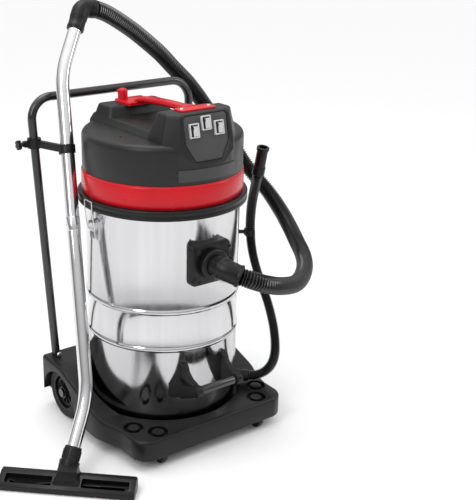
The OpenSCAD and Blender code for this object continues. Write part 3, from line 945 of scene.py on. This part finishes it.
def base_cuts(side):
    """Room for a rear wheel, the arch outside it, the fender's low end, the deck's recesses."""
    low_x = 236 if side > 0 else -300
    rear_low = [(low_x, 168), (low_x + 64, 168), (low_x + 64, 250), (low_x, 250)]
    round_cuts = [
        core(83, 0, 43, 72, along_x(234.5, WHEEL_Y, WHEEL_Z)),
        core(94, 0, 40, 72, along_x(268, WHEEL_Y + 1, 52)),
    ]
    if side < 0:
        for shape in round_cuts:
            shape.flip_x()
    ring = [(17, 82), (28, 82), (28.3, 92), (29.6, 110), (15.6, 110), (16.7, 92)]
    recesses = [
        Shape().lathe(ring, 64, Matrix.Translation((side * x, y, 0))) for x, y in RECESSES
    ]
    return round_cuts + [Shape().prism(rear_low, 20, 57)] + recesses


well = Shape().lathe(
    [
        (NEAR_AXIS, 70.2),
        (229, 70.2),
        (229, 90),
        (231, 93),
        (LID_R, 96.5),
        (LID_R, 300),
        (NEAR_AXIS, 300),
    ],
    192,
)
carve(
    "base_moulding",
    capped(base_rings()),
    [well] + base_cuts(-1) + base_cuts(1),
    BLACK,
    "trolley",
    ["chassis"],
)

# ---------- push frame ----------

FRAME_LINE = [(-250, 203, 136), (-274, 258, 950), (274, 258, 950), (250, 203, 136)]
make(
    "frame_tube",
    Shape().tube(rounded_line(FRAME_LINE, 62, 16), 12.5, 32),
    PAINT,
    "trolley",
    ["push_frame"],
    angle=40,
)

# ---------- wand ----------

WAND_FOOT = Vector((-402, -162, 83))
WAND = (
    Matrix.Translation(WAND_FOOT)
    @ Matrix.Rotation(math.radians(32.6), 4, "Z")
    @ Matrix.Rotation(math.radians(37.9), 4, "Y")
    @ Matrix.Rotation(math.radians(144.8), 4, "Z")
)
BEND, BEND_R = math.radians(22.8), 260.0
TO_BEND, BETWEEN_BENDS, PAST_BEND, TO_JOINT = 88, 791, 128, 600
reach = BEND_R * math.tan(BEND / 2)
slant = Vector((math.sin(BEND), 0, math.cos(BEND)))
low_corner = Vector((0, 0, TO_BEND + reach))
high_corner = low_corner + slant * (BETWEEN_BENDS + 2 * reach)
tip = high_corner + Vector((0, 0, reach + PAST_BEND))
mid = low_corner + slant * (TO_JOINT - TO_BEND - reach)


def on_wand(points):
    return [WAND @ p for p in rounded_line(points, BEND_R, 18)]


lower = Shape().pipe(on_wand([(0, 0, -30), low_corner, mid]), WAND_R, WAND_BORE, 40)
low_top = WAND @ mid
wand_way = (WAND @ (mid + slant) - WAND @ mid).normalized()
make("wand_low", lower, CHROME, "trolley", ["wand_lower"], angle=40)
upper = Shape().pipe(on_wand([mid, high_corner, tip]), WAND_R, WAND_BORE, 40)
upper.lathe(
    [(WAND_R, 0), (19.6, 0.6), (19.9, 2), (19.9, 36), (19.4, 38), (WAND_R, 38.6)],
    48,
    aim(low_top, wand_way),
)
make("wand_high", upper, CHROME, "trolley", ["wand_upper"], angle=40)

wand_end = WAND @ tip
end_way = (WAND @ tip - WAND @ (tip - Vector((0, 0, 10)))).normalized()
hose_end = Vector(HOSE_ROUTE[-1])


def elbow_radius(t):
    if t < 0.75:
        return 25.2
    return 27.5 if t < 0.97 else 26.6


elbow_corners = [wand_end - end_way * 2, wand_end + end_way * 32, hose_end]
elbow = tapered(resample(rounded_line(elbow_corners, 26, 14), 3), elbow_radius)
elbow.lathe(
    [
        (19.05, 0),
        (23.6, 0),
        (24.6, 1.5),
        (24.8, 10),
        (24.0, 11.5),
        (23.6, 30),
        (24.8, 34),
        (25.2, 44),
        (19.05, 44),
    ],
    56,
    aim(wand_end - end_way * 42, end_way),
)
make("wand_bend", elbow, BLACK, "trolley", ["wand_elbow"], angle=40)

# ---------- floor tool ----------

neck_way = -(WAND @ Vector((0, 0, 10)) - WAND @ Vector((0, 0, 0))).normalized()
collar_at = aim(WAND_FOOT - neck_way * 4, neck_way)
collar = Shape().lathe(
    [
        (19.05, 0),
        (21.6, 0),
        (23, 1.5),
        (24, 8),
        (24, 37),
        (25, 38.5),
        (28, 40),
        (28.4, 44),
        (28, 47.5),
        (19.05, 48),
    ],
    56,
    collar_at,
)
for k in range(20):
    spin = collar_at @ Matrix.Rotation(math.radians(18 * k), 4, "Z")
    collar.box((23.2, -1.1, 10), (25.4, 1.1, 36), 0.8, spin)
make("tool_ring", collar, BLACK, "trolley", ["tool_collar"], angle=40)

TOOL = Matrix.Translation((-450, -212, 0)) @ Matrix.Rotation(math.radians(-42), 4, "Z")
head = Shape()
section = rounded_outline(
    [(-35, 3), (35, 3), (35, 28), (27, 37), (12, 38), (-27, 25), (-35, 17)],
    [1.5, 1.5, 5, 5, 6, 5, 5],
    4,
)
ends = []
for x, k in ((-185, 0.90), (-183.5, 0.96), (-181, 1.0), (181, 1.0), (183.5, 0.96), (185, 0.90)):
    ends.append([(x, a * k, 3 + (b - 3) * k) for a, b in section])
head.loft(ends, TOOL)
windows = []
for side in (-1, 1):
    cut = Shape()
    tilt = (
        TOOL
        @ Matrix.Translation((side * 104, -5, 13))
        @ Matrix.Rotation(math.radians(19.5), 4, "X")
    )
    cut.prism(
        rounded_outline([(-64, -17), (64, -17), (64, 13), (-64, 13)], 4, 4), 0, 40, tilt
    )
    windows.append(cut)
windows.append(Shape().box((-150, -10, -2), (150, 10, 12), 1, TOOL))
LIP_Y = 22
for side in (-1, 1):
    y = side * LIP_Y
    windows.append(Shape().box((-150, y - 3.5, -2), (150, y + 3.5, 12), 0.5, TOOL))
neck = Shape().tube(
    [WAND_FOOT + neck_way * far for far in (43, 52, 60, 70)], [27.5, 27.5, 26.5, 26], 48
)
saddle = Shape()
saddle_rings = []
for z, w, y0, y1 in (
    (12, 44, -27, 33),
    (27, 38, -26, 33),
    (34, 33, -24, 32),
    (42, 29, -20, 32),
    (52, 27, -15, 34),
    (60, 26, -12, 36),
):
    flat = rounded_outline([(-w, y0), (w, y0), (w, y1), (-w, y1)], 9, 4)
    saddle_rings.append([(x, y, z) for x, y in flat])
saddle.loft(saddle_rings, TOOL)
carve(
    "tool_head",
    head,
    windows,
    BLACK,
    "trolley",
    ["tool_body"],
    joined=[saddle],
)
floor_cut = Shape().box((-900, -900, -60), (-100, 300, 6), 1)
carve(
    "tool_neck",
    neck,
    [floor_cut],
    BLACK,
    "trolley",
)
strips = Shape()
for side in (-1, 1):
    for k in range(37):
        x = -148 + 8 * k
        strips.box((x, side * LIP_Y - 2.3, 0), (x + 7, side * LIP_Y + 2.3, 11.5), 0.8, TOOL)
make("tool_lips", strips, RUBBER, "trolley", ["tool_strips"])

# ---------- lid ring and band ----------

make(
    "lid_flange",
    Shape().lathe(
        [
            (225, 686.2),
            (236, 686.2),
            (239, 687.4),
            (240, 690),
            (240, 696),
            (238.6, 698),
            (238.6, 702),
            (240, 704),
            (240, 710),
            (238.6, 713),
            (235, 714),
            (212, 714),
            (212, 692.2),
            (225, 692.2),
        ],
        256,
    ),
    BLACK,
    "head",
    ["lid_ring"],
    angle=50,
)
make(
    "band",
    Shape().lathe(
        [
            (212, 714),
            (225, 714),
            (225, 716.5),
            (227, 717.2),
            (228, 719),
            (228, 771),
            (227.4, 773.5),
            (225.8, 774.6),
            (225.8, 778),
            (212, 778),
            (212, 770),
            (218, 770),
            (218, 722),
            (212, 722),
        ],
        256,
    ),
    RED,
    "head",
    ["red_band"],
    angle=50,
)

# ---------- motor cover ----------


SLOPE_TURN = math.radians(12)
FACE_Y, FACE_Z = -222, 830


def console_ring(z, front, side, y_side, y_back, inset=0.0):
    """One level of the console, whose face leans back by SLOPE_TURN."""
    y_front = FACE_Y + (z - FACE_Z) * math.tan(SLOPE_TURN)
    half = [
        (front - inset, y_front + inset),
        (side - inset, y_side + inset * 0.3),
        (side - inset, y_back - inset),
    ]
    flat = rounded_outline(mirrored(half), max(1.0, 11.0 - inset), 4)
    return [(x, y, z) for x, y in flat]


console = Shape()
levels = [
    (812, 46, 116, -168, -84),
    (832, 54, 119, -177, -86),
    (858, 80, 124, -177, -88),
    (884, 84, 121, -174, -96),
    (920, 81, 113, -170, -107),
    (950, 79, 106, -167, -116),
]
rings = [console_ring(*level) for level in levels]
# The lowest level stays inside the drum.
rings[0] = [(x, max(y, -214), z) for x, y, z in rings[0]]
TOP_EDGE = 10
for k in range(1, 6):
    a = math.pi / 2 * k / 5
    inset = TOP_EDGE * (1 - math.cos(a))
    rings.append(console_ring(952 + TOP_EDGE * math.sin(a), 78.5, 105.5, -167, -117, inset))
console.loft(rings)

drum = Shape()
drum_profile = [(221, 778.2), (224.4, 778.2), (225, 779.5), (225, 866)]
for k in range(1, 9):
    a = math.pi / 2 * k / 8
    drum_profile.append((207 + 18 * math.cos(a), 867 + 18 * math.sin(a)))
drum_profile += [(2, 886), (2, 882), (206, 881), (216, 877), (221, 866)]
drum.lathe(drum_profile, 192)

bridge = Shape()
bridge_section = rounded_outline(
    [(-120, 850), (120, 850), (118, 886), (104, 903), (-104, 903), (-118, 886)],
    [2, 2, 5, 6, 6, 5],
    4,
)
bridge.prism(bridge_section, -150, 195, to_front(0) @ Matrix.Scale(-1, 4, (0, 0, 1)), edge=0)


def rear_ring(z, half, y0, y1, r):
    flat = rounded_outline([(-half, y0), (half, y0), (half, y1), (-half, y1)], r, 5)
    return [(x, y, z) for x, y in flat]


rear_rings = [
    rear_ring(860, 116, 96, 196, 14),
    rear_ring(890, 112, 100, 194, 14),
    rear_ring(922, 99, 113, 191, 14),
]
for k in range(1, 5):
    a = math.pi / 2 * k / 4
    d = 8 * (1 - math.cos(a))
    rear_rings.append(
        rear_ring(923 + 8 * math.sin(a), 98 - d, 114 + d, 190.5 - d, max(5, 14 - d))
    )
rear = Shape().loft(rear_rings)
dimple = Shape().lathe(
    [(NEAR_AXIS, 881), (3.2, 881), (3.6, 890), (NEAR_AXIS, 890)],
    24,
    Matrix.Translation((-160, -36, 0)),
)
# The front motor stands up into the console.
motor_room = core(75, 780, 856, 64, Matrix.Translation((0, -98, 0)))

# Carries (x, way up the slope, way out of it) to the console's face.
FACE = Matrix.Translation((0, FACE_Y, FACE_Z))
SLOPE = FACE @ Matrix.Rotation(math.pi / 2 - SLOPE_TURN, 4, "X")


def on_slope(x, z):
    return (x, (z - FACE_Z) / math.cos(SLOPE_TURN))


HEX = [
    (-42, 838),
    (42, 838),
    (69, 884),
    (70, 950),
    (63, 957),
    (-63, 957),
    (-70, 950),
    (-69, 884),
]
hexagon = rounded_outline([on_slope(*p) for p in HEX], [9, 9, 9, 5, 4, 4, 5, 9], 5)
recess = Shape().loft(
    [
        [(x, y, -5.6) for x, y in hexagon],
        [(x, y, -1.6) for x, y in inset_outline(hexagon, -1.6)],
        [(x, y, 0.2) for x, y in inset_outline(hexagon, -3.8)],
        [(x, y, 30.0) for x, y in inset_outline(hexagon, -22)],
    ],
    SLOPE,
)
SWITCHES = [(-40, 918), (0, 934), (40, 918)]
switch_holes = []
for x, z in SWITCHES:
    sx, sz = on_slope(x, z)
    switch_holes.append(
        Shape().box((sx - 12.4, sz - 16.4, -30), (sx + 12.4, sz + 16.4, 4), 1, SLOPE)
    )
carve(
    "cover_drum",
    drum,
    [recess, dimple, motor_room] + switch_holes,
    COVER,
    "head",
    ["motor_cover"],
    joined=[console, bridge, rear],
)

panel = Shape()
panel.prism(inset_outline(hexagon, 0.8), -5.5, -3.6, SLOPE, edge=0.7)
carve(
    "control_panel",
    panel,
    switch_holes,
    PANEL,
    "head",
    ["switch_panel"],
)
frames = Shape()
for x, z in SWITCHES:
    sx, sz = on_slope(x, z)
    outer_ring = [(sx + a, sz + b) for a, b in plate_outline(15.4, 19, 3, 4)]
    inner_ring = [(sx + a, sz + b) for a, b in plate_outline(11.4, 15.4, 1, 4)]
    frames.loft(
        [
            [(a, b, -3.6) for a, b in outer_ring],
            [(a, b, 1.8) for a, b in outer_ring],
            [(a, b, 3.0) for a, b in inset_outline(outer_ring, 1.1)],
            [(a, b, 3.0) for a, b in inset_outline(inner_ring, -0.7)],
            [(a, b, 2.2) for a, b in inner_ring],
            [(a, b, -3.6) for a, b in inner_ring],
        ],
        SLOPE,
        closed=True,
    )
make("switch_frames", frames, SILVER, "head", ["switch_bezels"], angle=40)

TIP = 9
for name, (x, z) in zip(("left", "middle", "right"), SWITCHES):
    sx, sz = on_slope(x, z)
    seat = (
        FACE
        @ Matrix.Rotation(-SLOPE_TURN, 4, "X")
        @ Matrix.Translation((sx, 9.5, sz))
        @ Matrix.Rotation(math.radians(TIP), 4, "X")
    )
    ends = []
    for turn in (TIP, -TIP):
        a = math.radians(turn)
        far = math.copysign(14.4, turn)
        ends.append(
            (-12.4 * math.cos(a) - far * math.sin(a), -12.4 * math.sin(a) + far * math.cos(a))
        )
    side_view = [ends[0], (-12.6, 0), ends[1], (-1, -13.6), (4, -12), (4, 12), (-1, 13.6)]
    across = seat @ along_x(0)
    light, dark = Shape(), Shape()
    light.prism(rounded_outline(side_view, 0.5, 2), -4.6, 10.9, across, edge=0.5)
    low_view = [(u + 0.7 if u < -5 else u, v * 0.97) for u, v in side_view]
    dark.prism(rounded_outline(low_view, 0.5, 2), -10.9, -4.7, across, edge=0.4)
    body = "rocker_" + name
    make("key_" + name, light, SILVER, body, [body], angle=40)
    make("lens_" + name, dark, BLACK, body, [body], angle=40)

PLATE_SPAN = 48
plate = Shape().lathe(
    [(225.1, 788), (226.3, 788), (226.8, 788.5), (226.8, 819.5), (226.3, 820), (225.1, 820)],
    48,
    start=270 - PLATE_SPAN / 2,
    turn=PLATE_SPAN,
)
make("blank_plate", plate, PLATE, "head", ["name_plate"], angle=40)

# ---------- carrying handle ----------


def oval(w, h, n=20, power=0.72):
    """An outline between an ellipse, at power 1, and a rectangle, at power 0."""
    out = []
    for k in range(n):
        a = 2 * math.pi * k / n
        c, s = math.cos(a), math.sin(a)
        across = w / 2 * math.copysign(abs(c) ** power, c)
        along = h / 2 * math.copysign(abs(s) ** power, s)
        out.append((across, along))
    return out


# The handle's middle line and section from rear to front: y, z, width, thickness.
handle_points = [
    (122, 931, 44, 16),
    (108, 940, 36, 17),
    (92, 945, 32, 18),
    (68, 948, 31, 19),
    (30, 951, 31, 19),
    (-10, 954, 31, 19),
    (-50, 955.5, 32, 19),
    (-84, 956, 33, 18),
    (-104, 958, 38, 16),
    (-118, 961.5, 44, 12),
    (-132, 963.5, 56, 7),
]
rings = []
for i, (y, z, w, h) in enumerate(handle_points):
    a = handle_points[max(0, i - 1)]
    b = handle_points[min(len(handle_points) - 1, i + 1)]
    t = Vector((0, b[0] - a[0], b[1] - a[1])).normalized()
    up = Vector((1, 0, 0)).cross(t)
    if up.z < 0:
        up = -up
    rings.append([Vector((p, y, z)) + up * q for p, q in oval(w, h)])
grip = Shape().loft(rings)
grip.prism(
    rounded_outline([(-58, -172), (58, -172), (58, -128), (-58, -128)], 12, 6),
    962,
    966.4,
    edge=2.2,
    both=False,
)
grip.prism(
    rounded_outline([(-46, 100), (46, 100), (46, 180), (-46, 180)], 8, 5),
    929,
    938.5,
    edge=3,
    both=False,
)
make("carry_grip", grip, RED, "head", ["carry_handle"], angle=50)
hook = Shape()
hook.prism(
    rounded_outline([(-42, 146), (-14, 146), (-14, 174), (-42, 174)], 13, 8),
    936,
    969,
    edge=9,
    steps=6,
    both=False,
)
hook.box((-38, 164, 955), (-18, 179, 964), 3)
make("lead_hook", hook, RED, "head", ["cord_hook"], angle=50)

# ---------- wheels ----------


def wheel(side):
    name = "left" if side < 0 else "right"
    spot = along_x(0, WHEEL_Y, WHEEL_Z)
    tyre = Shape()
    profile = [
        (57.9, 239),
        (62, 236.6),
        (70, 236.2),
        (75, 237.6),
        (78.4, 241),
        (79.8, 246),
        (80, 250),
        (80, 260),
        (79.8, 264),
        (78.4, 269),
        (75, 272.4),
        (70, 273.8),
        (62, 273.4),
        (57.9, 271),
    ]
    tyre.lathe(profile, 96, spot)
    hub = Shape()
    hub.lathe(
        [(50, 239), (57.9, 239), (57.9, 271), (56, 272.5), (52, 272.5), (50, 270)],
        72,
        spot,
    )
    hub.lathe(
        [(8.2, 236.2), (18, 236.2), (19, 238), (19, 272), (18, 273.8), (8.2, 273.8)],
        48,
        spot,
    )
    hub.lathe(
        [(18, 250), (51, 256), (51, 261), (44, 262), (42, 265), (38, 265), (36, 261), (18, 258)],
        72,
        spot,
    )
    for k in range(10):
        turn = spot @ Matrix.Rotation(math.radians(36 * k), 4, "Z")
        hub.box((17, -1.6, 254), (38, 1.6, 266), 1.0, turn)
    if side < 0:
        tyre.flip_x()
        hub.flip_x()
    body = "rear_wheel_" + name
    make("tyre_" + name, tyre, RUBBER, body, ["rear_tyre_" + name])
    make("hub_" + name, hub, BLACK, body, ["rear_hub_" + name])
    half = [(4.1, 9.8), (8, 9.8), (9, 9), (17, 8.4), (21, 9), (23.4, 8.4), (24.7, 6), (25, 3)]
    whole = [(r, -x) for r, x in half] + list(reversed(half))
    small = Shape().lathe(whole, 56, along_x(side * 172, -243, 25))
    make(
        "roller_" + name,
        small,
        BLACK,
        "caster_wheel_" + name,
        ["caster_wheel_" + name],
        angle=40,
    )


for side in (-1, 1):
    wheel(side)

# ---------- stage ----------

FLOOR_HALF = 40
floor = put("floor", bpy.data.meshes.new("floor"))
floor.data.from_pydata(
    [(x * FLOOR_HALF, y * FLOOR_HALF, 0) for x, y in ((-1, -1), (1, -1), (1, 1), (-1, 1))],
    [],
    [(0, 1, 2, 3)],
)
floor.data.materials.append(FLOOR)

world = bpy.data.worlds.new("studio")
world.use_nodes = True
sky = world.node_tree
way = sky.nodes.new("ShaderNodeTexCoord")
split = sky.nodes.new("ShaderNodeSeparateXYZ")
rise = sky.nodes.new("ShaderNodeMapRange")
rise.inputs["From Min"].default_value = 0.0
rise.inputs["From Max"].default_value = 1.0
rise.inputs["To Min"].default_value = 0.14
rise.inputs["To Max"].default_value = 1.62
sky.links.new(way.outputs["Generated"], split.inputs["Vector"])
sky.links.new(split.outputs["Z"], rise.inputs["Value"])
sky.links.new(rise.outputs["Result"], sky.nodes["Background"].inputs["Strength"])
sky.nodes["Background"].inputs["Color"].default_value = (1, 1, 1, 1)
bpy.context.scene.world = world

LIT = (0, 0, 450)


def softbox(at, size, power):
    data = bpy.data.lights.new("softbox", "AREA")
    data.shape = "RECTANGLE"
    data.size, data.size_y = size
    data.energy = power
    lamp = bpy.data.objects.new("softbox", data)
    lamp.location = place(at)
    way = place(LIT) - lamp.location
    lamp.rotation_euler = way.to_track_quat("-Z", "Y").to_euler()
    bpy.context.scene.collection.objects.link(lamp)


softbox((-2300, -900, 2300), (0.7, 1.8), 22)
softbox((2300, -1300, 1900), (0.5, 1.8), 14)
softbox((-300, 500, 3200), (1.4, 1.4), 22)

bpy.context.scene.view_settings.view_transform = "Standard"
